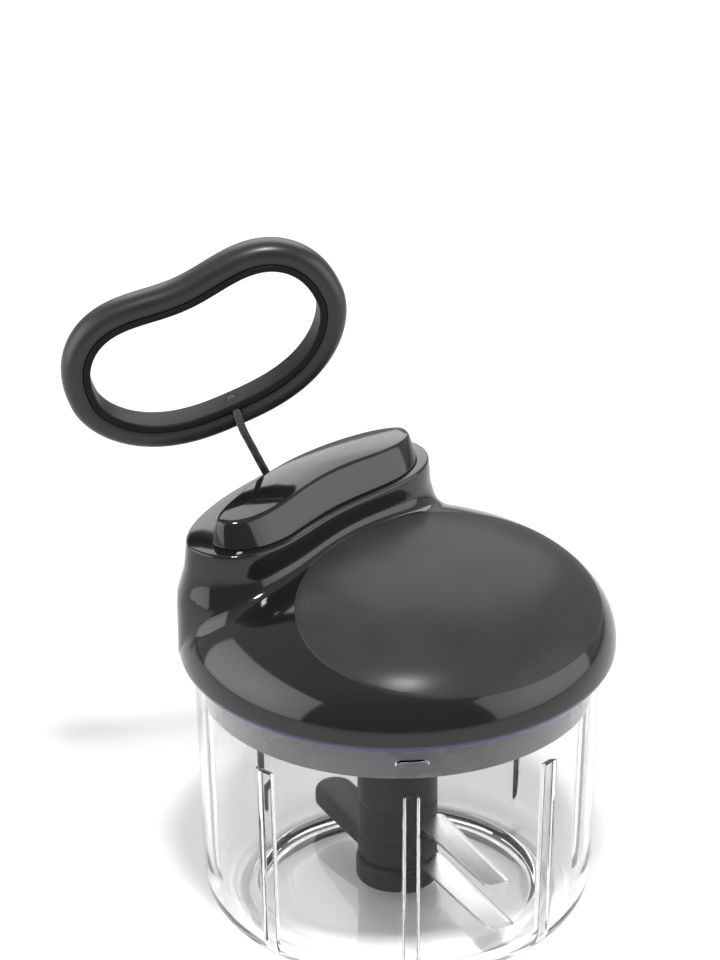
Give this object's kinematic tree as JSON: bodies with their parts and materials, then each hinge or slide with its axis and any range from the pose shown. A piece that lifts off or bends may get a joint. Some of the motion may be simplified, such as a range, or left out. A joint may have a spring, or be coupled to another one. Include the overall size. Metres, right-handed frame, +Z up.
{
  "type": "food chopper",
  "caption": "Pull-cord food chopper with a clear ribbed bowl, a blade unit, a glossy black lid with a soft palm pad and a ring handle on a braided cord.",
  "frame": {"origin": "centre of the bowl's flat underside", "axes": "+Z up along the bowl's axis; +Y from the axis towards the lid's raised island, where the cord comes out; the palm pad lies towards -Y; +X along the island's length, to the right when looking along +Y"},
  "size_m": [0.1264, 0.1535, 0.1961],
  "materials": {
    "clear_plastic": "clear, polished",
    "gloss_black": "high gloss",
    "matte_black": "fine grained, soft touch",
    "satin_black": "satin",
    "dark_grey_plastic": "satin",
    "polished_steel": "polished",
    "brass": "turned",
    "black_cord": "braided",
    "seal_rubber": "matte",
    "white_acetal": "smooth"
  },
  "bodies": {
    "bowl_body": {"bowl": "clear_plastic", "pivot_pin": "polished_steel"},
    "blade_carrier": {"hub_bush": "white_acetal"},
    "blade_unit": {"blade_hub": "dark_grey_plastic", "hub_foot": "dark_grey_plastic", "paddle_arm": "dark_grey_plastic", "lower_blade": "polished_steel", "upper_blade": "polished_steel"},
    "lid": {"lid_shell": "gloss_black", "palm_pad": "matte_black", "island_cap": "gloss_black", "base_plate": "dark_grey_plastic", "lid_seal": "seal_rubber", "lid_screw_1": "polished_steel", "lid_screw_2": "polished_steel", "lid_screw_3": "polished_steel", "lid_screw_4": "polished_steel", "lower_bush": "brass", "upper_bush": "brass", "spring_case": "dark_grey_plastic", "recoil_spring": "polished_steel", "roller_pin": "polished_steel", "roller_bracket": "dark_grey_plastic", "cord_eyelet": "satin_black", "pull_cord": "black_cord", "inner_cord": "black_cord"},
    "reel": {"cord_drum": "white_acetal", "cord_winding": "black_cord", "drive_axle": "polished_steel", "drive_coupling": "white_acetal"},
    "roller": {"guide_roller": "white_acetal"},
    "cord_end": {"cord_knot": "black_cord"},
    "handle": {"handle_band": "satin_black", "handle_grip": "satin_black"}
  },
  "joints": [
    {"name": "lid_lift", "type": "slide", "parent": "bowl_body", "child": "lid", "axis": [0, 0, 1], "range_m": [0, 0.12]},
    {"name": "blade_lift", "type": "slide", "parent": "bowl_body", "child": "blade_carrier", "axis": [0, 0, 1], "range_m": [0, 0.054]},
    {"name": "blade_spin", "type": "hinge", "parent": "blade_carrier", "child": "blade_unit", "pos_m": [0, 0, 0], "axis": [0, 0, 1], "range_deg": [-25, 727]},
    {"name": "reel_spin", "type": "hinge", "parent": "lid", "child": "reel", "pos_m": [0, 0, 0], "axis": [0, 0, 1], "range_deg": [-25, 727]},
    {"name": "roller_spin", "type": "hinge", "parent": "lid", "child": "roller", "pos_m": [-0.001, 0.04312, 0.10538], "axis": [1, 0, 0], "range_deg": [-111, 3320]},
    {"name": "cord_pull", "type": "slide", "parent": "lid", "child": "cord_end", "axis": [-0.4325, 0.0105, 0.9016], "range_m": [-0.01, 0.3], "deforming": ["pull_cord"]},
    {"name": "handle_tilt", "type": "hinge", "parent": "cord_end", "child": "handle", "pos_m": [-0.0082, 0.0549, 0.1462], "axis": [0.8706, -0.149, 0.4688], "range_deg": [0, 107.2]}
  ],
  "couplings": [
    {"joint": "blade_lift", "follows": "lid_lift", "ratio": 0.45},
    {"joint": "blade_spin", "follows": "cord_pull", "rad_per_m": 42.2},
    {"joint": "reel_spin", "follows": "cord_pull", "rad_per_m": 42.2},
    {"joint": "roller_spin", "follows": "cord_pull", "rad_per_m": 193}
  ]
}
